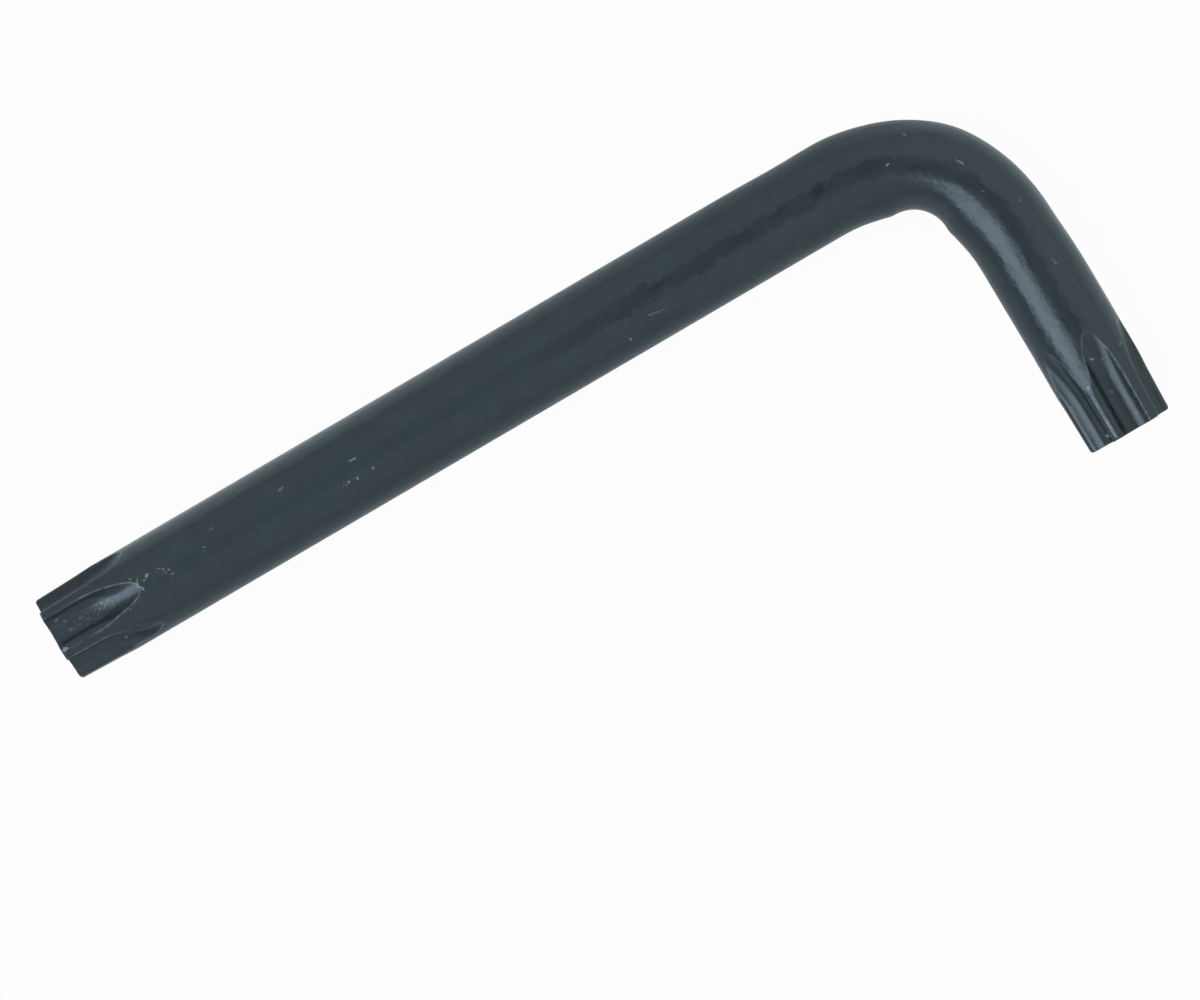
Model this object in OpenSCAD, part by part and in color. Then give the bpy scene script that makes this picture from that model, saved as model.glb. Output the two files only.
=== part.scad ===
// L-shaped key for six-lobe (hexalobular) sockets, forged at both ends from one round steel bar.
// It lies flat: the long arm runs along X, the short arm along Y, and Z = 0 is the surface below.
// The origin is on that surface, under the middle of the key's overall length and width.

/* [Shank] */
// Diameter of the round bar
shank_d = 9.2; // [9:0.1:11]
// Overall length of the long arm, from the outer side of the short arm
long_arm = 104.5; // [70:0.5:220]
// Overall length of the short arm, from the outer side of the long arm
short_arm = 39.6; // [34:0.2:90]

/* [Bend] */
// Bend radius at the bar's centreline
bend_r = 12.6; // [11:0.1:16]
// Radius of the former that the bar was bent over
former_r = 3.7; // [3:0.1:4.5]
// Depth of the mark that the former pressed into the inside of the bend
former_mark = 0.65; // [0.3:0.05:1]
// How much wider than the bar the former's groove is, on the radius
groove_play = 0.6; // [0.3:0.1:1.5]
// Height of the metal that stands up beside each end of the former's mark
swell_h = 0.22; // [0.1:0.02:0.4]

/* [Star drive] */
// Diameter over the lobes at the end face
point_d = 8.83; // [8.7:0.01:8.9]
// Diameter between opposite flutes at the end face
root_d = 6.36; // [6:0.01:6.6]
// Radius of the rounded side of a lobe
lobe_r = 0.76; // [0.6:0.01:0.9]
// Width of the flat-topped land along the crest of a lobe, at the end face
land_w = 0.62; // [0.3:0.02:0.8]
// Distance from the end face over which the lobes grow to the bar's diameter
taper_len = 6.3; // [4:0.1:12]
// Radius of the curve in which a flute rises out of the bar
runout_r = 11.3; // [8:0.1:16]
// Bevel around each end face
end_bevel = 0.2; // [0.05:0.05:0.4]

/* [Long arm's end] */
// Length of the flutes at full depth
long_flute = 5.1; // [3:0.1:12]
// Turn of the upper flute about the long arm, towards the outside of the bend
long_roll = 8; // [-30:0.5:30]

/* [Short arm's end] */
// Length of the flutes at full depth
short_flute = 5.5; // [3:0.1:8]
// Turn of the upper flute about the short arm, towards the outside of the bend
short_roll = 5.5; // [-30:0.5:30]

/* [Hidden] */
$fn = 120;
black_oxide = [0.24, 0.26, 0.28];

lobes = 6;
lobe_step = 360 / lobes;
shank_r = shank_d / 2;
point_r = point_d / 2;
root_r = root_d / 2;
// What a cutting shape reaches beyond the metal that it cuts
clear = 1;

// The flutes and the lobes' crests rise together by this angle, towards the full bar
draft = atan((shank_r - point_r) / taper_len);
// A lobe is a circle of lobe_r, and the land trims its crest at point_r
lobe_at = sqrt(pow(point_r, 2) - pow(land_w / 2, 2)) - sqrt(pow(lobe_r, 2) - pow(land_w / 2, 2));
// The arcs of a flute and a lobe cross by this little, so that they meet in one clean edge
arc_cross = 0.004;
lobe_reach = lobe_r - arc_cross;
half_step_cos = cos(lobe_step / 2);
// Radius of the flute that meets the circles of its two lobes
flute_r = (pow(root_r, 2) + pow(lobe_at, 2) - 2 * root_r * lobe_at * half_step_cos - pow(lobe_reach, 2))
    / (2 * (lobe_at * half_step_cos + lobe_reach - root_r));
flute_at = root_r + flute_r;
// Where the two arcs meet, on the line between their centres
lobe_pos = lobe_at * [half_step_cos, sin(lobe_step / 2)];
meet_pos = [flute_at, 0] + (lobe_pos - [flute_at, 0]) * flute_r / (flute_r + lobe_reach);
// A flute's cutting shape ends halfway from the land's edge to the middle of the crest
land_half = asin(land_w / 2 / point_r);
cut_half = lobe_step / 2 - land_half / 2;
cut_out = shank_r + clear;
// Angle through which a flute's root curves before it is clear of the bar
runout_angle = acos(1 - (shank_r - root_r + clear / 2) / runout_r);

// The former stands on the bend's diagonal, this far from the bend's centre
inside_r = bend_r - shank_r;
former_shift = inside_r + former_mark - former_r;
groove_r = shank_r + groove_play;
// Half the turn of the bend over which the former has left its mark
mark_half = acos((pow(inside_r, 2) + pow(former_shift, 2) - pow(former_r, 2)) / (2 * inside_r * former_shift));
// Beside the mark the bar's inside is a straight chord of the bend, swell_h above the round
chord_half = acos(1 - swell_h / inside_r);
chord_len = 2 * inside_r * sin(chord_half);
chord_turn = 45 - mark_half - chord_half;
// The chord's round is a little tighter than the bar's, which keeps it to the inside
chord_tighter = 0.3;

// Cross-section of what one flute takes away, with X pointing outwards from the bar's axis
module flute_section() {
    inner = lobe_at * [cos(cut_half), sin(cut_half)];
    outer = cut_out * [cos(cut_half), sin(cut_half)];
    half = [meet_pos, inner, outer];
    other_half = [for (i = [2:-1:0]) [half[i][0], -half[i][1]]];
    translate([flute_at, 0])
        circle(r = flute_r);
    difference() {
        polygon(concat(half, other_half));
        for (side = [-1, 1])
            translate([lobe_pos[0], side * lobe_pos[1]])
                circle(r = lobe_r);
    }
}

// One flute, cut from an end face at Z = 0 along +Z, and curving out of the bar at full_len
module flute(full_len) {
    translate([root_r, 0, 0])
        rotate([0, draft, 0])
            translate([-root_r, 0, 0]) {
                translate([0, 0, -clear])
                    linear_extrude(full_len + clear)
                        flute_section();
                translate([root_r + runout_r, 0, full_len])
                    rotate([90, 0, 180])
                        rotate_extrude(angle = runout_angle)
                            translate([root_r + runout_r, 0])
                                mirror([1, 0])
                                    flute_section();
            }
}

// Straight arm with its end face at Z = 0, and one flute turned by roll from +X
module arm(length, full_len, roll) {
    bevel_r = point_r + end_bevel * tan(draft);
    outline = [
        [0, 0],
        [bevel_r - end_bevel, 0],
        [bevel_r, end_bevel],
        [shank_r, taper_len],
        [shank_r, length],
        [0, length]
    ];
    difference() {
        rotate_extrude()
            polygon(outline);
        for (i = [0:lobes - 1])
            rotate(roll + i * lobe_step)
                flute(full_len);
    }
}

// Straight chord on the inside of the bend, at a turn from where the bend begins on +X
module chord(turn) {
    chord_r = shank_r - chord_tighter;
    rotate(turn)
        translate([inside_r - swell_h + chord_r, 0, 0])
            rotate([90, 0, 0])
                cylinder(r = chord_r, h = chord_len + clear, center = true);
}

// Grooved former that the bar was bent over
module former() {
    difference() {
        cylinder(r = former_r + groove_r, h = 2 * groove_r, center = true);
        rotate_extrude()
            translate([former_r + groove_r, 0])
                circle(r = groove_r);
    }
}

// Quarter turn of the bar about the Z axis, from +X to +Y, with the former's mark inside it
module bend() {
    difference() {
        union() {
            rotate_extrude(angle = 90)
                translate([bend_r, 0])
                    circle(r = shank_r);
            chord(chord_turn);
            chord(90 - chord_turn);
        }
        rotate(45)
            translate([former_shift, 0, 0])
                former();
    }
}

// The upper flute of each arm points up at a roll of 0, and outwards from the bend above that
module key() {
    color(black_oxide)
        translate([shank_r - long_arm / 2, shank_r - short_arm / 2, shank_r]) {
            translate([long_arm - shank_r, 0, 0])
                rotate([0, -90, 0])
                    arm(long_arm - shank_r - bend_r, long_flute, -long_roll);
            translate([0, short_arm - shank_r, 0])
                rotate([90, 0, 0])
                    arm(short_arm - shank_r - bend_r, short_flute, 90 + short_roll);
            translate([bend_r, bend_r, 0])
                rotate(180)
                    bend();
        }
}

key();
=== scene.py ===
"""Star-drive key of black-oxidised steel, lying on a pale floor and seen from straight above.

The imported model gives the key's overall size and place. The key itself is built again here as
one dense, closed mesh of the same form, with the rounded edges, raised burrs and small marks
that forging, bending and use have left on it. The mesh is worked out in millimetres and put into
metres at the end. The key's material works in millimetres too, by each point's place on the bar
before it was bent.
"""

import math
from collections import namedtuple

import bpy
import numpy as np
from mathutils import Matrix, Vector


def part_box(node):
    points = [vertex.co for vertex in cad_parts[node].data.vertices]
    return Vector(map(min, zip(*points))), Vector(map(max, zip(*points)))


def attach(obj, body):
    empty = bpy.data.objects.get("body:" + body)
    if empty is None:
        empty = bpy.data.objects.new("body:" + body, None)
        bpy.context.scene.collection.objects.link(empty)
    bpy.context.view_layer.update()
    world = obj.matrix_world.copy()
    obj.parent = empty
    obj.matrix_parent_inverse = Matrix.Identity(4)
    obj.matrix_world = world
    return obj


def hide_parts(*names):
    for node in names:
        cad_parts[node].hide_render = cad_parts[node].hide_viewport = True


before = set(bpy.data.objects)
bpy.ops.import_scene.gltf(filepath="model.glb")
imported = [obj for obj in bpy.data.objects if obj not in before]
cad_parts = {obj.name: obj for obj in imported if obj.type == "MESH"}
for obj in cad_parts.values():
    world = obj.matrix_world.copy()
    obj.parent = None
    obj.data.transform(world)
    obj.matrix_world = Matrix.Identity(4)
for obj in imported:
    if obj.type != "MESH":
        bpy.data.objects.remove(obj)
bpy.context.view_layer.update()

MM = 0.001
LOW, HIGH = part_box("key")

# ---------------------------------------------------------------- sizes, in mm
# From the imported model: the bar's radius, the height of its axis, both end faces, and the corner
# where the axes of the two arms would cross
SHANK_R = (HIGH.z - LOW.z) / 2 / MM
AXIS_Z = (HIGH.z + LOW.z) / 2 / MM
LONG_END = HIGH.x / MM
SHORT_END = HIGH.y / MM
CORNER_X = LOW.x / MM + SHANK_R
CORNER_Y = LOW.y / MM + SHANK_R

# As in part.scad: the bend, the mark that its former pressed into it, and the chords beside that
BEND_R = 12.6
FORMER_R = 3.7
FORMER_MARK = 0.65
GROOVE_PLAY = 0.6
SWELL_H = 0.22
CHORD_TIGHTER = 0.3

# As in part.scad: the tips
POINT_R = 8.83 / 2
TAPER_LEN = 6.3
END_BEVEL = 0.2
LOBES = 6
HALF_STEP = math.pi / LOBES
DRAFT = (SHANK_R - POINT_R) / TAPER_LEN

# Rounding around the end faces, along the flutes' edges, around the former's mark, and between
# the chords and the bar
END_ROUND = 0.05
EDGE_ROUND = 0.05
CREASE = 0.12
CHORD_CREASE = 0.4

# A lobe: the width of the land on its crest, the radius of its sides, and how many degrees it has
# been turned from its place, towards the outside of the bend
Lobe = namedtuple("Lobe", "land side turned")
LONG_LOBE = Lobe(0.70, 0.72, 0.0)
LONG_OUTER_LOBE = Lobe(0.90, 0.55, -2.1)
LONG_INNER_LOBE = Lobe(0.84, 0.82, -3.6)
SHORT_LOBE = Lobe(0.34, 0.69, 0.0)
SHORT_OUTER_LOBE = Lobe(1.14, 0.60, -3.0)
SHORT_INNER_LOBE = Lobe(0.24, 0.69, 0.4)

# Each tip: radius at the flutes' roots, the six lobes, length of the flutes at full depth, slope of
# their run-outs, how much painted shade darkens them there, turn of the upper flute towards the
# outside of the bend, the turn that its run-outs add to that, and how much longer each flute is.
# The first flute is the upper one. The first lobe is beside it on the outside, and the last one
# on the inside.
LONG_TIP = {
    "root": 3.13,
    "lobes": (LONG_OUTER_LOBE,) + (LONG_LOBE,) * 4 + (LONG_INNER_LOBE,),
    "full": 4.35,
    "slope": 0.345,
    "shaded": 0.46,
    "roll": 9.8,
    "skew": -4.6,
    "longer": (0.0, -0.1, 0.1, 0.0, 0.15, 0.05),
}
SHORT_TIP = {
    "root": 3.09,
    "lobes": (SHORT_OUTER_LOBE,) + (SHORT_LOBE,) * 4 + (SHORT_INNER_LOBE,),
    "full": 4.55,
    "slope": 0.30,
    "shaded": 0.0,
    "roll": 5.6,
    "skew": 2.4,
    "longer": (0.0, -0.45, 0.1, -0.1, 0.0, 0.1),
}

# Length over which a flute's floor turns up into its run-out, how much of the run-out's rise the
# sides of the lobes share with the floor, and a length that no run-out reaches
RUNOUT_EASE = 2.5
SHOULDER_SHARE = 0.86
MAX_RUNOUT = 12.0
# Shares of a flute's full depth after which its extra length and its run-out's turn set in
LONGER_FROM = 0.4
SKEW_FROM = 0.7

# Burr along a run-out's edge: height, distance from the edge, width, and the length over which it
# grows. Then the length over which a run-out's painted shade sets in
BURR_H = 0.007
BURR_AT = 0.04
BURR_W = 0.05
BURR_GROWTH = 2.0
SHADE_GROWTH = 3.0

# How far the long tip's end face leans outwards, in mm per mm, and how far along the bar that
# is felt
END_TILT = 0.024
TILT_LEN = 5.6

# ---------------------------------------------------------------- the mesh's grid
# Columns on half a flute and on half a land, the width beside an edge that gets even ones, and
# how fast they widen after that
FLUTE_COLUMNS = 14
LAND_COLUMNS = 8
SECTOR_MIDDLE = FLUTE_COLUMNS + LAND_COLUMNS
FINE_WIDTH = 0.3
FLUTE_WIDENING = 2
LAND_WIDENING = 3
# Half the width that a flute's columns keep where it ends in a point
APEX_WIDTH = 0.04
# Rows around an end face, by their distance from it in END_ROUND
END_ROWS = (0, 0.2, 0.5, 1, 2.5, 4)
# Rows on a flute at full depth, on its run-out, and on the plain bar after it
FULL_ROWS = 20
RUNOUT_ROWS = 40
AFTER_ROWS = 16
AFTER_LEN = 4.0
# Distance between rows on a plain arm, rows in the bend, and closer ones on both sides of it
ARM_STEP = 1.4
BEND_ROWS = 78
NEAR_ROWS = 6
NEAR_WIDENING = 1.5
# Rings of points inside an end face
CAP_RINGS = 6

# Halvings in a search for a length, and for a turn or a radius. Points in one for the nearest edge
LENGTH_HALVINGS = 50
HALVINGS = 40
EDGE_SAMPLES = 500
# Radii between which the former's mark lies, and an edge distance far from any edge
FORMER_SEARCH = (1.0, 6.0)
FAR = 9.0


def smooth(x):
    """0 below 0, 1 above 1, and a smooth rise between them."""
    x = np.clip(x, 0.0, 1.0)
    return x * x * (3 - 2 * x)


def round_min(a, b, width):
    """The lower of two surfaces, with the edge where they cross rounded off."""
    h = np.clip(1 - np.abs(a - b) / width, 0.0, 1.0)
    return np.minimum(a, b) - h * h * width / 4


def round_max(a, b, width):
    """The higher of two surfaces, with the crease where they cross rounded off."""
    return -round_min(-a, -b, width)


# ---------------------------------------------------------------- form of a fluted tip
def flute_rise(d, tip):
    """How far a flute's run-out has risen at d from the end face."""
    past = np.clip(d - tip["full"], 0.0, None)
    return tip["slope"] * (np.hypot(past, RUNOUT_EASE) - RUNOUT_EASE)


def root_radius(d, tip):
    """Distance from the bar's axis to the floor of a flute, at d from the end face."""
    return tip["root"] + DRAFT * d + flute_rise(d, tip)


def apex_of(tip):
    """Distance from the end face at which a flute's root comes out of the bar."""
    low, high = tip["full"], tip["full"] + MAX_RUNOUT
    for _ in range(LENGTH_HALVINGS):
        d = (low + high) / 2
        low, high = (d, high) if root_radius(d, tip) < SHANK_R else (low, d)
    return low


# Half of a flute's cross-section, with X pointing outwards through the middle of the flute: the
# radius of its floor and how far out the middle of that arc is, the radius and the middle of a
# lobe's side, and the turn at which the two arcs touch
Section = namedtuple("Section", "floor floor_x side side_x side_y meet")


def section_of(d, tip, lobe):
    """The cross-section of a flute at d from the end face."""
    rise, half_land = flute_rise(d, tip), lobe.land / 2
    centre = math.sqrt(POINT_R**2 - half_land**2) - math.sqrt(lobe.side**2 - half_land**2)
    root = root_radius(d, tip)
    x = centre * math.cos(HALF_STEP) + DRAFT * d + SHOULDER_SHARE * rise
    y = centre * math.sin(HALF_STEP)
    floor = (root**2 + x**2 + y**2 - 2 * root * x - lobe.side**2) / (2 * (x + lobe.side - root))
    floor_x = root + floor
    share = floor / (floor + lobe.side)
    meet = np.arctan2(y * share, floor_x + (x - floor_x) * share)
    return Section(floor, floor_x, lobe.side, x, y, meet)


def flute_radius(turn, section):
    """Distance from the bar's axis to a flute's wall, at a turn from the flute's middle."""
    turn = np.abs(turn)
    reach = section.floor**2 - (section.floor_x * np.sin(turn)) ** 2
    on_floor = section.floor_x * np.cos(turn) - np.sqrt(np.clip(reach, 0.0, None))
    side_at = np.hypot(section.side_x, section.side_y)
    away = np.minimum(turn - np.arctan2(section.side_y, section.side_x), 0.0)
    reach = section.side**2 - (side_at * np.sin(away)) ** 2
    on_side = side_at * np.cos(away) + np.sqrt(np.clip(reach, 0.0, None))
    return np.where(turn < section.meet, on_floor, on_side)


def steepness(turn, radius, section):
    """Sine of the angle at which a flute's wall stands to the middle of its floor."""
    across = radius * np.sin(np.abs(turn))
    on_floor, on_side = across / section.floor, (section.side_y - across) / section.side
    return np.where(np.abs(turn) < section.meet, on_floor, on_side)


def crest_radius(d):
    """Radius over the lobes at d from the end face, without the end's bevel."""
    return np.minimum(POINT_R + DRAFT * d, SHANK_R)


def edge_turn(d, tip, lobe):
    """Half the turn that a flute takes up in the bar's surface, at d from the end face."""
    section, crest = section_of(d, tip, lobe), crest_radius(d)
    low, high = np.zeros_like(d), np.full_like(d, HALF_STEP)
    for _ in range(HALVINGS):
        turn = (low + high) / 2
        inside = flute_radius(turn, section) < crest
        low, high = np.where(inside, turn, low), np.where(inside, high, turn)
    return low


def edge_distance(d, turn, tip, lobe):
    """Distance over the surface to the flute's edge, below 0 in the flute."""
    apex = apex_of(tip)
    along = apex - apex * np.linspace(0, 1, EDGE_SAMPLES) ** 2
    edge = edge_turn(along, tip, lobe)
    across = edge * SHANK_R
    away = np.hypot(d[..., None] - along, np.abs(turn)[..., None] * SHANK_R - across).min(-1)
    inside = np.abs(turn) < np.interp(d, along[::-1], edge[::-1], right=0)
    return np.where(inside, -away, away)


def spaced(width, steps, widening):
    """Distances from an edge, which start FINE_WIDTH / steps apart and then widen, to width."""
    s = np.arange(steps + 1) / steps
    fine = np.minimum(FINE_WIDTH, width)[:, None]
    return fine * s + (width[:, None] - fine) * s**widening


def sector_turns(d, tip, lobe):
    """Turns of a sector's columns from its flute's middle, one row for each d."""
    edge = np.hypot(edge_turn(d, tip, lobe) * SHANK_R, APEX_WIDTH)
    land = spaced(HALF_STEP * SHANK_R - edge, LAND_COLUMNS, LAND_WIDENING) + edge[:, None]
    flute = edge[:, None] - spaced(edge, FLUTE_COLUMNS, FLUTE_WIDENING)
    half = np.concatenate([flute[:, ::-1], land[:, 1:]], axis=1) / SHANK_R
    even = np.linspace(0, HALF_STEP, half.shape[1])
    relax = smooth((d - apex_of(tip)) / AFTER_LEN)[:, None]
    half = half * (1 - relax) + even * relax
    return np.concatenate([-half[:, :0:-1], half], axis=1)


def tip_rows(tip):
    """Distances from the end face of a tip's rows of points."""
    full, apex = tip["full"], apex_of(tip)
    end = np.array(END_ROWS) * END_ROUND
    straight = np.linspace(end[-1], full, FULL_ROWS + 1)[1:]
    runout = apex - (apex - full) * (1 - np.arange(1, RUNOUT_ROWS + 1) / RUNOUT_ROWS) ** 2
    after = apex + AFTER_LEN * (np.arange(1, AFTER_ROWS + 1) / AFTER_ROWS) ** 2
    return np.concatenate([end, straight, runout, after])


def tip_sector(rows, tip, lobe):
    """One sector of a tip between two equal lobes: the turns and radii of its points, their
    distance to the edge, and how steep the flute's wall is there, with the run-out's painted shade
    added to that."""
    turn = sector_turns(rows, tip, lobe)
    d = np.broadcast_to(rows[:, None], turn.shape)
    section = section_of(d, tip, lobe)
    away = edge_distance(d, turn, tip, lobe)
    past = d - tip["full"]
    burr = BURR_H * np.exp(-(((away - BURR_AT) / BURR_W) ** 2)) * smooth(past / BURR_GROWTH)
    crest = crest_radius(d) - np.clip(END_BEVEL - d, 0.0, None) + burr
    radius = round_min(crest, flute_radius(turn, section), EDGE_ROUND)
    left = np.clip(END_ROUND - d, 0.0, END_ROUND)
    radius = radius - (END_ROUND - np.sqrt(END_ROUND**2 - left**2))
    steep = steepness(turn, radius, section) * smooth(0.5 - away / EDGE_ROUND)
    # The steepness also carries the painted shade of the run-outs
    return turn, radius, away, steep + tip["shaded"] * smooth(past / SHADE_GROWTH)


def tip_grid(tip):
    """A whole tip: distance from its end face, turn from straight up, radius, edge distance and
    steepness of each point, with its rows from the end face inwards."""
    full, apex, longer, lobes = tip["full"], apex_of(tip), tip["longer"], tip["lobes"]
    rows = tip_rows(tip)
    sectors = {lobe: tip_sector(rows, tip, lobe) for lobe in lobes}
    # A flute's extra length sets in before its run-out, and has gone where the plain bar starts
    settle = smooth((rows - full * LONGER_FROM) / (full * (1 - LONGER_FROM)))
    settle = settle * (1 - smooth((rows - apex) / AFTER_LEN))
    twist = smooth((rows - full * SKEW_FROM) / (apex - full * SKEW_FROM))
    twist = math.radians(tip["skew"]) * twist
    # On its lands a sector shares its extra length with its neighbours, half and half in the end
    columns = np.arange(2 * SECTOR_MIDDLE + 1)
    shared = np.zeros(len(columns))
    shared[:LAND_COLUMNS] = 0.5 - 0.5 * np.arange(LAND_COLUMNS) / LAND_COLUMNS
    shared[-LAND_COLUMNS:] = 0.5 * np.arange(1, LAND_COLUMNS + 1) / LAND_COLUMNS
    is_inner = columns < SECTOR_MIDDLE
    parts = []
    for i in range(LOBES):
        inner, outer = lobes[i - 1], lobes[i]
        turn, radius, away, steep = (
            np.hstack([a[:, :SECTOR_MIDDLE], b[:, SECTOR_MIDDLE:]])
            for a, b in zip(sectors[inner], sectors[outer])
        )
        beside = np.where(is_inner, longer[i - 1], longer[(i + 1) % LOBES])
        extra = longer[i] * (1 - shared) + beside * shared
        d = rows[:, None] + settle[:, None] * extra
        shift = np.radians(np.where(is_inner, inner.turned, outer.turned))
        up = math.radians(tip["roll"]) + i * 2 * HALF_STEP + turn + twist[:, None]
        up = up + shift * np.abs(turn) / HALF_STEP
        parts.append([a[:, :-1] for a in (d, up, radius, away, steep)])
    return [np.concatenate(grids, axis=1) for grids in zip(*parts)]


# ---------------------------------------------------------------- form of the bend
INSIDE_R = BEND_R - SHANK_R
FORMER_SHIFT = INSIDE_R + FORMER_MARK - FORMER_R
GROOVE_R = SHANK_R + GROOVE_PLAY
MARK_HALF = math.acos(
    (INSIDE_R**2 + FORMER_SHIFT**2 - FORMER_R**2) / (2 * INSIDE_R * FORMER_SHIFT)
)
CHORD_HALF = math.acos(1 - SWELL_H / INSIDE_R)
CHORD_TURN = math.pi / 4 - MARK_HALF - CHORD_HALF
CHORD_R = SHANK_R - CHORD_TIGHTER
CHORD_AT = INSIDE_R - SWELL_H + CHORD_R
BEND_LEN = BEND_R * math.pi / 2

# What bending took from or added to the bar's radius: its place along the axis, measured from the
# bend's end on the short arm, its height, how far it reaches towards the long and the short tip,
# and on which side of the bar it is
OUTSIDE, INSIDE = 1, -1
THINNING = (
    (-1.1, -0.36, 5.4, 4.2, OUTSIDE),
    (-9.5, 0.16, 2.6, 2.6, OUTSIDE),
    (-16.7, -0.15, 2.8, 2.8, OUTSIDE),
    (-24.0, -0.10, 3.5, 3.5, OUTSIDE),
    (12.0, -0.10, 9.0, 9.0, INSIDE),
)


def chord_radius(turn, before, up):
    """Distance from the bar's axis to a chord's surface. turn is the bend's, from the chord's
    middle, and before is how far the point lies outside the bend, on the chord's own side."""
    across, above = np.sin(up) * np.cos(turn), np.cos(up)
    from_axis = BEND_R * np.cos(turn) - before * abs(math.sin(CHORD_TURN)) - CHORD_AT
    a = across**2 + above**2
    b = from_axis * across
    c = from_axis**2 - CHORD_R**2
    return (-b + np.sqrt(np.clip(b * b - a * c, 0.0, None))) / a


def former_radius(turn, up):
    """Distance from the bar's axis to the former's mark. turn is the bend's, from its middle."""
    low, high = (np.full(turn.shape, r) for r in FORMER_SEARCH)
    for _ in range(HALVINGS):
        r = (low + high) / 2
        out = BEND_R + r * np.sin(up)
        away = np.sqrt(out**2 + FORMER_SHIFT**2 - 2 * out * FORMER_SHIFT * np.cos(turn))
        short = FORMER_R + GROOVE_R - away
        cut = (short > 0) & (short**2 + (r * np.cos(up)) ** 2 > GROOVE_R**2)
        low, high = np.where(cut, low, r), np.where(cut, r, high)
    return low


def bend_radius(past, up):
    """Radius of the bar in and near the bend, at a distance past the bend's start on the long
    arm."""
    turn = np.clip(past / BEND_R, 0.0, math.pi / 2)
    before = np.clip(-past, 0.0, None)
    after = np.clip(past - BEND_LEN, 0.0, None)
    inner = round_max(
        chord_radius(turn - CHORD_TURN, before, up),
        chord_radius(math.pi / 2 - turn - CHORD_TURN, after, up),
        CREASE,
    )
    inner = round_max(np.full(turn.shape, SHANK_R), inner, CHORD_CREASE)
    body = np.where(np.sin(up) < 0, inner, SHANK_R)
    marked = round_min(body, former_radius(turn - math.pi / 4, up), CREASE)
    return np.where((past > 0) & (past < BEND_LEN), marked, body)


def thinning(past, up):
    """What bending has added to the bar's radius, at a distance past the bend's end on the short
    arm."""
    total = 0.0
    for at, height, to_long, to_short, side in THINNING:
        reach = np.where(past < at, to_long, to_short)
        facing = np.clip(side * np.sin(up), 0.0, None) ** 2
        total = total + height * facing * np.exp(-(((past - at) / reach) ** 2))
    return total


# ---------------------------------------------------------------- the whole bar
ARM_LONG = LONG_END - CORNER_X - BEND_R
ARM_SHORT = SHORT_END - CORNER_Y - BEND_R
BAR_LEN = ARM_LONG + BEND_LEN + ARM_SHORT


def arm_rows(length):
    """Even distances from a tip's last row to the rows near the bend, without those two."""
    return np.linspace(0, length, round(length / ARM_STEP) + 1)[1:-1]


def bar_rows():
    """Distances along the bar's axis from the long tip's end face, between the two tips' rows."""
    long_len, short_len = tip_rows(LONG_TIP)[-1], tip_rows(SHORT_TIP)[-1]
    near = BEND_LEN / BEND_ROWS * np.arange(NEAR_ROWS + 1) ** NEAR_WIDENING
    bend = ARM_LONG + np.linspace(0, BEND_LEN, BEND_ROWS + 1)
    long_arm = long_len + arm_rows(ARM_LONG - near[-1] - long_len)
    short_arm = bend[-1] + near[-1] + arm_rows(ARM_SHORT - near[-1] - short_len)
    return np.concatenate([long_arm, bend[0] - near[:0:-1], bend, bend[-1] + near[1:], short_arm])


def bar_grid():
    """The bar without its end faces: distance along it from the long tip's end face, turn from
    straight up, radius, edge distance and steepness of each point."""
    long_grid = tip_grid(LONG_TIP)
    short_grid = [grid[::-1] for grid in tip_grid(SHORT_TIP)]
    short_grid[0] = BAR_LEN - short_grid[0]

    # Between the tips the columns turn evenly from those of one tip to those of the other
    rows = bar_rows()
    long_len, short_len = tip_rows(LONG_TIP)[-1], tip_rows(SHORT_TIP)[-1]
    share = ((rows - long_len) / (BAR_LEN - short_len - long_len))[:, None]
    up = long_grid[1][-1] * (1 - share) + short_grid[1][0] * share
    along = np.broadcast_to(rows[:, None], up.shape)
    radius = bend_radius(along - ARM_LONG, up)
    middle_grid = [along, up, radius, np.full(up.shape, FAR), np.zeros(up.shape)]

    grids = zip(long_grid, middle_grid, short_grid)
    along, up, radius, away, steep = (np.concatenate(grid) for grid in grids)
    radius = radius + thinning(along - ARM_LONG - BEND_LEN, up)
    return along, up, radius, away, steep


def closed_grid():
    """The bar's grid with rings at both ends, which close in on the middle of its end faces."""
    along, up, radius, away, steep = bar_grid()
    rings = ((CAP_RINGS, CAP_RINGS), (0, 0))
    along, up = np.pad(along, rings, mode="edge"), np.pad(up, rings, mode="edge")
    away, steep = np.pad(away, rings, constant_values=FAR), np.pad(steep, rings)
    shrink = 1 - np.arange(1, CAP_RINGS + 1)[:, None] / (CAP_RINGS + 0.5)
    radius = np.concatenate([radius[:1] * shrink[::-1], radius, radius[-1:] * shrink])
    along = along - END_TILT * radius * np.sin(up) * (1 - smooth(along / TILT_LEN))
    return along, up, radius, away, steep


def place(along, up, radius):
    """Points of the bar, from the distance along its axis, the turn from straight up towards the
    outside of the bend, and the radius."""
    out, above = radius * np.sin(up), radius * np.cos(up)
    turn = np.clip((along - ARM_LONG) / BEND_R, 0.0, math.pi / 2)
    before = np.clip(ARM_LONG - along, 0.0, None)
    after = np.clip(along - ARM_LONG - BEND_LEN, 0.0, None)
    x = CORNER_X + BEND_R - (BEND_R + out) * np.sin(turn) + before
    y = CORNER_Y + BEND_R - (BEND_R + out) * np.cos(turn) + after
    return np.stack([x, y, AXIS_Z + above], axis=-1)


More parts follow.
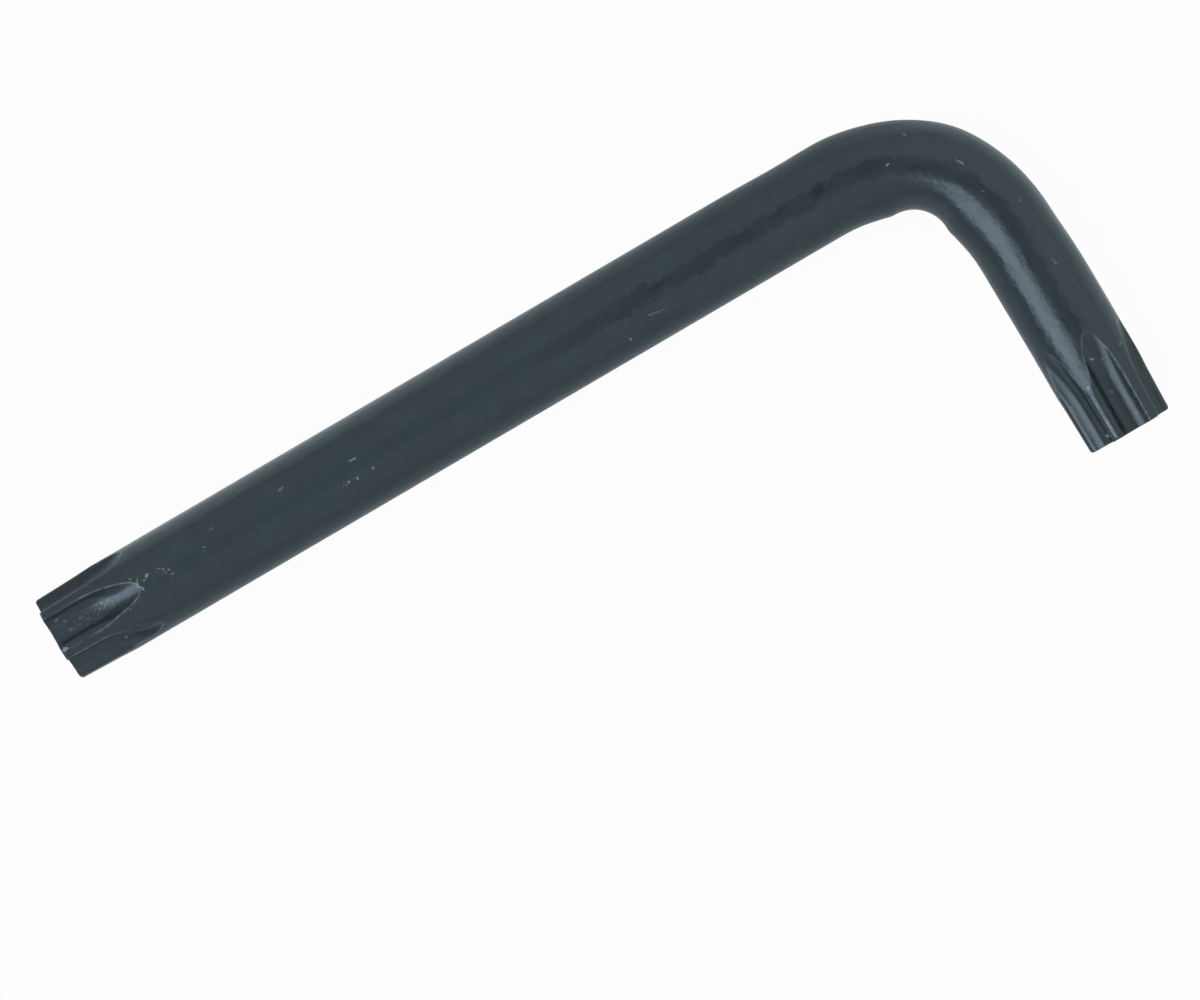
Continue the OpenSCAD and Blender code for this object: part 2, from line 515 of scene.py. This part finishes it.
def make_key():
    """The key's mesh, in metres, with its attributes for the material."""
    along, up, radius, away, steep = closed_grid()
    points = place(along, up, radius)
    straight = np.stack([along, radius * np.sin(up), radius * np.cos(up)], axis=-1)

    rows, columns = along.shape
    index = np.arange(rows * columns).reshape(rows, columns)
    right = np.roll(index, -1, axis=1)
    quads = np.stack([index[:-1], index[1:], right[1:], right[:-1]], axis=-1).reshape(-1, 4)
    faces = quads.tolist() + [index[0].tolist(), index[-1][::-1].tolist()]

    mesh = bpy.data.meshes.new("key_dressed")
    mesh.from_pydata((points.reshape(-1, 3) * MM).tolist(), [], faces)
    mesh.shade_smooth()
    for name, kind, field, values in (
        ("edge", "FLOAT", "value", away),
        ("steep", "FLOAT", "value", steep),
        ("bar", "FLOAT_VECTOR", "vector", straight),
    ):
        attribute = mesh.attributes.new(name, kind, "POINT")
        attribute.data.foreach_set(field, values.ravel().astype(np.float32))
    key = bpy.data.objects.new("key_dressed", mesh)
    bpy.context.scene.collection.objects.link(key)
    return key


# ---------------------------------------------------------------- building blocks for materials
def node(tree, kind, **properties):
    """A new node with the given properties."""
    made = tree.nodes.new(kind)
    for name, value in properties.items():
        setattr(made, name, value)
    return made


def calc(tree, operation, *values):
    """The output of a new maths node. Each value is a number or another node's output."""
    made = node(tree, "ShaderNodeMath", operation=operation)
    for socket, value in zip(made.inputs, values):
        if isinstance(value, (int, float)):
            socket.default_value = value
        else:
            tree.links.new(value, socket)
    return made.outputs[0]


def product(tree, first, *others):
    """The product of some values."""
    for other in others:
        first = calc(tree, "MULTIPLY", first, other)
    return first


def step(tree, value, start, end, low=0.0, high=1.0):
    """A smooth change from low, where value is at start, to high, where it is at end."""
    made = node(tree, "ShaderNodeMapRange", interpolation_type="SMOOTHSTEP")
    for name, number in (("From Min", start), ("From Max", end), ("To Min", low), ("To Max", high)):
        made.inputs[name].default_value = number
    tree.links.new(value, made.inputs["Value"])
    return made.outputs["Result"]


def vector_math(tree, operation, *values):
    """A new vector maths node. Each value is a tuple or another node's output."""
    made = node(tree, "ShaderNodeVectorMath", operation=operation)
    for socket, value in zip(made.inputs, values):
        if isinstance(value, tuple):
            socket.default_value = value
        else:
            tree.links.new(value, socket)
    return made


def split(tree, vector):
    """The three parts of a vector."""
    parts = node(tree, "ShaderNodeSeparateXYZ")
    tree.links.new(vector, parts.inputs[0])
    return parts.outputs


def noise_node(tree, vector, scale, detail):
    """A new noise node, with a scale in cycles per mm."""
    made = node(tree, "ShaderNodeTexNoise")
    made.inputs["Scale"].default_value = scale
    made.inputs["Detail"].default_value = detail
    tree.links.new(vector, made.inputs["Vector"])
    return made


def noise(tree, vector, scale, detail, stretch=1.0):
    """Noise of a scale in cycles per mm, drawn out by stretch along the bar."""
    mapping = node(tree, "ShaderNodeMapping")
    mapping.inputs["Scale"].default_value = (1 / stretch, 1, 1)
    tree.links.new(vector, mapping.inputs["Vector"])
    return noise_node(tree, mapping.outputs["Vector"], scale, detail).outputs["Fac"]


def mixed(tree, factor, first, second):
    """One colour or the other, by a factor. Each colour is a tuple or another node's output."""
    made = node(tree, "ShaderNodeMix", data_type="RGBA")
    tree.links.new(factor, made.inputs["Factor"])
    for name, colour in (("A", first), ("B", second)):
        if isinstance(colour, tuple):
            made.inputs[name].default_value = (*colour, 1)
        else:
            tree.links.new(colour, made.inputs[name])
    return made.outputs["Result"]


# Half the depth of a blot, and where it starts and ends to fade, as a share of its size
BLOT_DEPTH = 3 * SHANK_R
BLOT_FADE = (1.0, 0.5)


def blot(tree, vector, centre, length, width, turn, strength):
    """strength inside an ellipse on the bar, and 0 around it. centre is its distance from the long
    tip's end face and its place across the bar, and turn is in degrees from along the bar."""
    mapping = node(tree, "ShaderNodeMapping", vector_type="TEXTURE")
    mapping.inputs["Location"].default_value = (*centre, SHANK_R)
    mapping.inputs["Rotation"].default_value = (0, 0, math.radians(turn))
    mapping.inputs["Scale"].default_value = (length / 2, width / 2, BLOT_DEPTH)
    tree.links.new(vector, mapping.inputs["Vector"])
    size = vector_math(tree, "LENGTH", mapping.outputs["Vector"])
    return step(tree, size.outputs["Value"], *BLOT_FADE, 0.0, strength)


def blots(tree, vector, spots):
    """The sum of some blots. Each is added as it is made, because Cycles can hold only so many
    values at a time."""
    result = blot(tree, vector, *spots[0])
    for spot in spots[1:]:
        result = calc(tree, "ADD", result, blot(tree, vector, *spot))
    return result


# ---------------------------------------------------------------- black oxide
# Its main tones, bare metal at worn edges and in marks, and painted shade
OXIDE_BLUE = (0.0140, 0.0225, 0.0300)
OXIDE_BLUEST = (0.0100, 0.0190, 0.0330)
OXIDE = (0.0160, 0.0268, 0.0305)
OXIDE_GREEN = (0.0182, 0.0302, 0.0285)
WORN = (0.085, 0.110, 0.120)
MARKED = (0.18, 0.22, 0.235)
PAINTED_SHADE_COLOUR = (0.002, 0.0035, 0.0045)
OXIDE_IOR = 1.58
SPECULAR_TINT = (0.76, 0.95, 1.0, 1)

# Noises: cycles per mm, detail, and how much they are drawn out along the bar
CLOUD_NOISE = (0.35, 4)
MOTTLE_NOISE = (1.1, 5, 1.8)
GRAIN_NOISE = (6.0, 3)
GREEN_NOISE = (0.55, 5, 1.3)
RAGGED_NOISE = (1.2, 2, 1.4)
DEPTH_NOISE = (0.9, 3, 2.5)
WEAR_NOISE = (1.6, 4)
CLUSTER_NOISE = (3.4, 3)
SPECK_NOISE = (2.6, 2)
STIR_NOISE = (3.0, 2)
WAVE_NOISE = (0.6, 2, 1.6)
RIPPLE_NOISE = (1.8, 4, 1.2)

# Steps: the two values between which something sets in, and what it is worth at each of them, which
# is 0 and 1 where that isn't said. The main tones, and the streak along the top, a bluer line that
# turns into painted shade, by distance from the middle of the top, by place along the bar and by
# noise
BLUE_TO_SLATE = (0.40, 0.60)
SLATE_TO_GREEN = (0.46, 0.66, 0.0, 0.7)
STREAK_ACROSS = (1.05, 0.6)
STREAK_ALONG = (62.0, 78.0)
STREAK_DEPTH = (0.38, 0.68, 0.30, 0.66)
STREAK_BLUE = (0.40, 0.64, 0.0, 0.6)
# Painted shade, by a wall's steepness. In the long tip's outer flute, by distance across the bar
# and along it and by distance from the edge. Patches of it, by noise
SHADED_WALL = (0.60, 0.74, 0.0, 0.9)
SHADED_OUT = (2.7, 3.6, 0.0, 0.6)
SHADED_ALONG = (13.0, 9.0)
SHADED_INSIDE = (0.0, -0.15)
SHADE_PATCHES = (0.35, 0.55, 0.7, 1.0)
# Worn edges, by distance from the edge, by noise, and by place along the bar near each tip
WORN_ACROSS = (0.13, 0.02)
WORN_PATCHES = (0.36, 0.60, 0.25, 1.0)
WORN_LONG_TIP = (60.0, 50.0)
WORN_SHORT_TIP = (BAR_LEN - 12.0, BAR_LEN - 6.5, 0.25, 1.0)
# Marks, by height above the bar's axis and by noise
MARKED_UP = (1.2, 2.2)
CLUSTER_SPECKS = (0.50, 0.66)
LOOSE_SPECKS = (0.77, 0.90, 0.0, 0.7)
# Roughness, by noise, and the share of the relief that is left, by distance from a flute's edge
SATIN = (0.3, 0.7, 0.17, 0.27)
RELIEF_AWAY = (-0.3, 1.0, 0.3, 1.0)

# How far noise moves the sides and the start of the painted shade streak along the top, and the
# scratches, in mm
RAGGED_BY = 2.6
START_MOVED_BY = 24.0
STIRRED_BY = (0.6, 0.6, 0.0)
# What dusty places add to the noise of the loose specks, and marks and the painted shade to the
# roughness
DUST_GAIN = 0.1
MARKS_ROUGHER = 0.2
SHADE_ROUGHER = 0.35
# Height of the relief's noises, in mm
WAVE_H = 0.06
RIPPLE_H = 0.036
GRAIN_H = 0.003

# Marks on the upper side. Each is its distance from the long tip's end face and its place across
# the bar (positive towards the outside of the bend), its length and width in mm, its turn in
# degrees and how much it shows. A cluster is broken up into specks, a scratch is whole.
CLUSTERS = (
    ((12.6, 0.4), 2.4, 0.8, -36, 1.0),
    ((17.1, 0.3), 1.1, 0.7, 0, 0.9),
    ((26.1, 1.6), 1.1, 0.4, 10, 0.5),
    ((32.4, -1.2), 2.6, 0.5, -4, 1.0),
    ((34.0, 0.6), 2.4, 0.4, 0, 0.7),
    ((5.0, 0.4), 8.0, 1.4, 0, 0.3),
)
SCRATCHES = (
    ((9.75, 0.8), 1.1, 0.2, 70, 0.9),
    ((9.8, 0.1), 0.7, 0.3, -60, 0.8),
    ((9.3, 1.5), 0.3, 0.3, 0, 0.6),
    ((10.85, 0.95), 0.65, 0.32, 35, 1.0),
    ((10.4, 0.7), 0.4, 0.25, -60, 0.5),
    ((5.6, 0.8), 0.4, 0.3, 0, 1.0),
    ((6.3, 0.8), 0.3, 0.25, 0, 0.7),
    ((1.8, 0.2), 0.6, 0.4, 20, 0.4),
    ((1.0, 1.65), 0.4, 0.4, 0, 0.35),
    ((1.7, 1.2), 0.5, 0.25, 60, 0.3),
    ((6.0, -3.1), 0.4, 0.45, 0, 0.6),
    ((3.7, -3.65), 0.35, 0.5, 0, 0.4),
    # This one, by the long tip's end face, is partly a nick and partly a painted glint on its
    # chipped edge
    ((0.5, -1.2), 0.8, 0.4, 0, 0.9),
    ((66.0, -2.0), 2.5, 0.16, -10, 0.4),
    ((99.0, 1.35), 1.3, 0.22, -18, 0.7),
    ((18.4, 1.7), 0.7, 0.2, 0, 0.3),
    ((34.8, -1.15), 0.35, 0.25, 20, 0.8),
    ((62.5, -2.9), 0.3, 0.25, 0, 0.7),
    ((92.4, 0.1), 0.26, 0.26, 0, 1.0),
    ((94.0, 3.0), 0.4, 0.2, 0, 0.5),
    ((102.1, 0.0), 0.25, 0.25, 0, 0.4),
    ((105.0, 1.9), 0.5, 0.22, -30, 0.5),
    ((111.6, 1.6), 1.1, 0.3, 20, 0.35),
    ((121.5, -0.05), 0.5, 0.32, 40, 0.9),
    ((123.4, 3.35), 0.4, 0.4, 0, 0.6),
    ((121.6, 3.2), 0.4, 0.4, 0, 0.4),
    ((122.1, 0.9), 0.4, 0.3, 0, 0.4),
    ((123.7, -1.75), 0.4, 0.4, 0, 0.8),
    ((125.2, 0.1), 0.4, 0.5, 0, 0.25),
    ((128.2, 1.1), 0.34, 0.34, 0, 1.0),
    ((128.7, -2.3), 0.34, 0.34, 0, 1.0),
    ((127.3, 3.5), 0.3, 0.3, 0, 0.6),
)
# Edges that are less worn than the others
SPARED = (
    ((1.4, 2.4), 6.0, 1.1, 0, 0.75),
    ((1.9, -1.35), 5.2, 0.9, 0, 0.8),
    ((120.0, 3.9), 9.0, 2.6, 0, 1.0),
)
# Where loose specks lie thickest
DUSTY = (
    ((5.0, 0.0), 15.0, 12.0, 0, 1.0),
    ((14.0, 0.6), 8.0, 2.8, 0, 0.8),
    ((125.5, 0.0), 15.0, 12.0, 0, 0.6),
)
# Where the painted shade of the streak along the top is darkest
DARKER = (((67.2, 0.5), 2.8, 1.4, 0, 0.4), ((85.2, 0.4), 2.4, 1.7, 0, 0.5))

# The key's attributes as nodes' outputs: place on the straight bar, its three parts, signed
# distance from a flute's edge, and steepness of a flute's wall, which also carries the run-outs'
# painted shade
Surface = namedtuple("Surface", "bar along out up edge steep")


def surface_of(tree):
    """The outputs that give each point's place on the key."""
    bar = node(tree, "ShaderNodeAttribute", attribute_name="bar").outputs["Vector"]
    edge = node(tree, "ShaderNodeAttribute", attribute_name="edge").outputs["Fac"]
    steep = node(tree, "ShaderNodeAttribute", attribute_name="steep").outputs["Fac"]
    along, out, up = split(tree, bar)
    return Surface(bar, along, out, up, edge, steep)


def stirred_place(tree, bar):
    """The same place on the bar, moved by up to a fraction of a mm, for uneven outlines."""
    stir = noise_node(tree, bar, *STIR_NOISE).outputs["Color"]
    centred = vector_math(tree, "SUBTRACT", stir, (0.5, 0.5, 0.5))
    return vector_math(tree, "MULTIPLY_ADD", centred.outputs[0], STIRRED_BY, bar).outputs[0]


def oxide_tones(tree, on, cloud):
    """Cloudy blue, slate and green."""
    colour = mixed(tree, step(tree, cloud, *BLUE_TO_SLATE), OXIDE_BLUE, OXIDE)
    greener = step(tree, noise(tree, on.bar, *GREEN_NOISE), *SLATE_TO_GREEN)
    return mixed(tree, greener, colour, OXIDE_GREEN)


def with_painted_streak(tree, on, colour, cloud, mottle):
    """The colour with a bluer line along the top, which from the middle of the long arm on turns
    into a streak of painted shade with ragged sides, for the dark overhead that the top mirrors."""
    ragged = noise(tree, on.bar, *RAGGED_NOISE)
    ragged = calc(tree, "MULTIPLY_ADD", ragged, RAGGED_BY, -RAGGED_BY / 2)
    middle = calc(tree, "ADD", calc(tree, "ABSOLUTE", on.out), ragged)
    middle = step(tree, middle, *STREAK_ACROSS)
    started = calc(tree, "MULTIPLY_ADD", cloud, START_MOVED_BY, on.along)
    started = step(tree, started, *STREAK_ALONG)
    depth = step(tree, noise(tree, on.bar, *DEPTH_NOISE), *STREAK_DEPTH)
    depth = calc(tree, "ADD", depth, blots(tree, on.bar, DARKER))
    bluer = product(tree, middle, step(tree, mottle, *STREAK_BLUE))
    colour = mixed(tree, bluer, colour, OXIDE_BLUEST)
    return mixed(tree, product(tree, middle, started, depth), colour, PAINTED_SHADE_COLOUR)


def painted_wall_shade(tree, on, mottle):
    """How much painted shade there is, on the flutes' steep walls and in the long tip's outer
    flute.
    """
    scale = step(tree, on.steep, *SHADED_WALL)
    outer = product(
        tree,
        step(tree, on.out, *SHADED_OUT),
        step(tree, on.along, *SHADED_ALONG),
        step(tree, on.edge, *SHADED_INSIDE),
    )
    scale = calc(tree, "MAXIMUM", scale, outer)
    return product(tree, scale, step(tree, mottle, *SHADE_PATCHES))


def edge_wear(tree, on):
    """How worn the flutes' edges are, broken here and there."""
    wear = step(tree, calc(tree, "ABSOLUTE", on.edge), *WORN_ACROSS)
    wear = product(tree, wear, step(tree, noise(tree, on.bar, *WEAR_NOISE), *WORN_PATCHES))
    at_short_tip = step(tree, on.along, *WORN_SHORT_TIP)
    by_length = calc(tree, "MAXIMUM", at_short_tip, step(tree, on.along, *WORN_LONG_TIP))
    wear = product(tree, wear, by_length)
    return product(tree, wear, calc(tree, "SUBTRACT", 1.0, blots(tree, on.bar, SPARED)))


def nicks_and_specks(tree, on, stirred):
    """How much of a mark there is: clusters, scratches and loose specks on the upper side."""
    upper = step(tree, on.up, *MARKED_UP)
    clusters = blots(tree, on.bar, CLUSTERS)
    scratches = blots(tree, stirred, SCRATCHES)
    dusty = blots(tree, on.bar, DUSTY)
    specked = step(tree, noise(tree, on.bar, *CLUSTER_NOISE), *CLUSTER_SPECKS)
    clusters = product(tree, clusters, specked)
    speckled = noise(tree, on.bar, *SPECK_NOISE)
    speckled = calc(tree, "MULTIPLY_ADD", dusty, DUST_GAIN, speckled)
    specks = step(tree, speckled, *LOOSE_SPECKS)
    marks = calc(tree, "MAXIMUM", calc(tree, "MAXIMUM", clusters, scratches), specks)
    return product(tree, marks, upper)


def relief(tree, on):
    """Normals of waves from forging, which are flatter in the flutes, with oxide grain on top.
    Cycles works its height out several times over, so it stays small."""
    waves = product(tree, noise(tree, on.bar, *WAVE_NOISE), WAVE_H)
    ripples = noise(tree, on.bar, *RIPPLE_NOISE)
    waves = calc(tree, "MULTIPLY_ADD", ripples, RIPPLE_H, waves)
    waves = product(tree, waves, step(tree, on.edge, *RELIEF_AWAY))
    grain = noise(tree, on.bar, *GRAIN_NOISE)
    bump = node(tree, "ShaderNodeBump")
    bump.inputs["Strength"].default_value = 1.0
    bump.inputs["Distance"].default_value = MM
    tree.links.new(calc(tree, "MULTIPLY_ADD", grain, GRAIN_H, waves), bump.inputs["Height"])
    return bump.outputs["Normal"]


def black_oxide():
    """Black oxide on steel: dark slate, satin, mottled blue and green, with paler worn edges,
    painted shade on the flutes' steep walls and in a streak along the top, a few nicks and fine
    specks."""
    material = bpy.data.materials.new("black_oxide_steel")
    material.use_nodes = True
    tree = material.node_tree
    shader = tree.nodes["Principled BSDF"]
    shader.inputs["IOR"].default_value = OXIDE_IOR
    shader.inputs["Specular Tint"].default_value = SPECULAR_TINT
    on = surface_of(tree)
    stirred = stirred_place(tree, on.bar)
    cloud = noise(tree, on.bar, *CLOUD_NOISE)
    mottle = noise(tree, on.bar, *MOTTLE_NOISE)

    colour = oxide_tones(tree, on, cloud)
    # A bluer line along the top, then a streak of painted shade for the dark overhead that the top
    # mirrors
    colour = with_painted_streak(tree, on, colour, cloud, mottle)
    # Painted shade on the flutes' steep walls and in the long tip's outer flute
    scale = painted_wall_shade(tree, on, mottle)
    colour = mixed(tree, scale, colour, PAINTED_SHADE_COLOUR)
    colour = mixed(tree, edge_wear(tree, on), colour, WORN)
    marks = nicks_and_specks(tree, on, stirred)
    colour = mixed(tree, marks, colour, MARKED)
    tree.links.new(colour, shader.inputs["Base Color"])

    satin = step(tree, mottle, *SATIN)
    satin = calc(tree, "MULTIPLY_ADD", marks, MARKS_ROUGHER, satin)
    # Rougher where shade is painted
    satin = calc(tree, "MULTIPLY_ADD", scale, SHADE_ROUGHER, satin)
    tree.links.new(satin, shader.inputs["Roughness"])
    tree.links.new(relief(tree, on), shader.inputs["Normal"])
    return material


# ---------------------------------------------------------------- floor
FLOOR_HALF = 3.0
# The lit part's colour, and how much of the floor is plain white to the camera and in the key
FLOOR_GREY = (0.66, 0.66, 0.66, 1)
FLOOR_SEEN = 0.965
FLOOR_MIRRORED = 0.6
WHITE = (1.0, 1.0, 1.0)
# The floor that the key mirrors, which paints shade, light and a tint into the key's reflections:
# its colour, and how bright it is, as steps by place in metres. The first goes from the outer side
# of the short arm to the inner one. The other two add light on the outer side of the long arm, the
# more the nearer to its tip
MIRRORED_TINT = (0.92, 1.12, 1.18)
MIRRORED_BY_X = (-0.056, -0.044, 0.8, 0.42)
MORE_BY_X = (-0.040, 0.030, 0.0, 0.45)
MORE_BY_Y = (-0.012, -0.018)


def floor_material():
    """White floor that keeps the key's shadow: part lit, and part plain white to the eye. Where the
    key mirrors it, it is dimmed and tinted by place, as painted shade and light in the key's
    reflections.
    """
    material = bpy.data.materials.new("floor_white")
    material.use_nodes = True
    tree = material.node_tree
    shader = tree.nodes["Principled BSDF"]
    shader.inputs["Base Color"].default_value = FLOOR_GREY
    shader.inputs["Roughness"].default_value = 1.0
    shader.inputs["Specular IOR Level"].default_value = 0.0
    rays = node(tree, "ShaderNodeLightPath").outputs
    mirrored = calc(tree, "MAXIMUM", rays["Is Glossy Ray"], rays["Is Transmission Ray"])
    x, y, _ = split(tree, node(tree, "ShaderNodeTexCoord").outputs["Object"])
    # Painted shade and light in the key's reflections, by place on the floor
    more = product(tree, step(tree, x, *MORE_BY_X), step(tree, y, *MORE_BY_Y))
    fade = calc(tree, "ADD", step(tree, x, *MIRRORED_BY_X), more)
    dimmer = calc(tree, "MULTIPLY_ADD", mirrored, calc(tree, "SUBTRACT", fade, 1.0), 1.0)
    white = node(tree, "ShaderNodeEmission")
    tree.links.new(dimmer, white.inputs["Strength"])
    tree.links.new(mixed(tree, mirrored, WHITE, MIRRORED_TINT), white.inputs["Color"])
    seen = product(tree, rays["Is Camera Ray"], FLOOR_SEEN)
    seen = calc(tree, "MULTIPLY_ADD", mirrored, FLOOR_MIRRORED, seen)
    mix = node(tree, "ShaderNodeMixShader")
    tree.links.new(seen, mix.inputs["Fac"])
    tree.links.new(shader.outputs[0], mix.inputs[1])
    tree.links.new(white.outputs[0], mix.inputs[2])
    tree.links.new(mix.outputs[0], tree.nodes["Material Output"].inputs["Surface"])
    return material


def make_floor():
    """A wide square floor at the height that the key lies on."""
    mesh = bpy.data.meshes.new("floor")
    half = FLOOR_HALF
    corners = [(-half, -half, 0), (half, -half, 0), (half, half, 0), (-half, half, 0)]
    mesh.from_pydata(corners, [], [(0, 1, 2, 3)])
    mesh.materials.append(floor_material())
    floor = bpy.data.objects.new("floor", mesh)
    bpy.context.scene.collection.objects.link(floor)


# ---------------------------------------------------------------- light and camera
# The room: darker overhead and at the horizon, as steps by height in the sky, and how much brighter
# towards -X
OVERHEAD = (0.90, 0.985, 0.68, 0.54)
HORIZON = (0.0, 0.5, 0.72, 1.0)
SIDE_TREND = 0.38
# The panel, as steps by height in the sky and by how nearly a direction points towards +X
PANEL_TOP = (0.985, 0.82)
PANEL_FOOT = (0.34, 0.53)
PANEL_FACING = (0.5, 1.08, 0.0, 3.2)
PANEL_COLOUR = (0.87, 0.88, 1.0)
# The bright patch: its direction, and a step by distance from that
PATCH_AT = (0.34, 0.25, 0.905)
PATCH_EDGE = (0.20, 0.03, 0.0, 2.2)
# The least that is divided by, straight overhead
TINY = 0.001

# Focal length and sensor width in mm, place in metres and turn in degrees
LENS = 186
SENSOR = 36
CAMERA_AT = (0.00009, -0.00039, 0.6056)
CAMERA_TURN = 149.666


def make_world():
    """Soft white room: darker overhead, brighter towards -X, with a bright panel towards +X and a
    smaller bright patch high up beside it."""
    world = bpy.data.worlds.new("studio")
    bpy.context.scene.world = world
    world.use_nodes = True
    tree = world.node_tree
    direction = node(tree, "ShaderNodeTexCoord").outputs["Generated"]
    x, y, z = split(tree, direction)

    side = calc(tree, "MULTIPLY_ADD", x, -SIDE_TREND, 1.0)
    room = product(tree, step(tree, z, *OVERHEAD), step(tree, z, *HORIZON), side)

    across = calc(tree, "MULTIPLY_ADD", z, calc(tree, "MULTIPLY", z, -1.0), 1.0)
    across = calc(tree, "MAXIMUM", calc(tree, "SQRT", across), TINY)
    facing = step(tree, calc(tree, "DIVIDE", x, across), *PANEL_FACING)
    panel = product(tree, step(tree, z, *PANEL_TOP), step(tree, z, *PANEL_FOOT), facing)
    apart = vector_math(tree, "DISTANCE", direction, PATCH_AT).outputs["Value"]
    panel = calc(tree, "ADD", panel, step(tree, apart, *PATCH_EDGE))
    tinted = node(tree, "ShaderNodeVectorMath", operation="SCALE")
    tinted.inputs[0].default_value = PANEL_COLOUR
    tree.links.new(panel, tinted.inputs["Scale"])

    mix = node(tree, "ShaderNodeMix", data_type="RGBA", blend_type="ADD", clamp_result=False)
    mix.inputs["Factor"].default_value = 1.0
    tree.links.new(room, mix.inputs["A"])
    tree.links.new(tinted.outputs[0], mix.inputs["B"])
    back = tree.nodes["Background"]
    tree.links.new(mix.outputs["Result"], back.inputs["Color"])
    back.inputs["Strength"].default_value = 1.0


def make_camera():
    """Straight above the key, turned so that the long arm runs down to the left."""
    data = bpy.data.cameras.new("camera")
    data.lens = LENS
    data.sensor_width = SENSOR
    camera = bpy.data.objects.new("camera", data)
    camera.location = CAMERA_AT
    camera.rotation_euler = (0, 0, math.radians(CAMERA_TURN))
    bpy.context.scene.collection.objects.link(camera)
    bpy.context.scene.camera = camera


make_camera()
make_world()
make_floor()

key = make_key()
key.data.materials.append(black_oxide())
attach(key, "root")
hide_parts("key")

bpy.context.scene.view_settings.view_transform = "Standard"
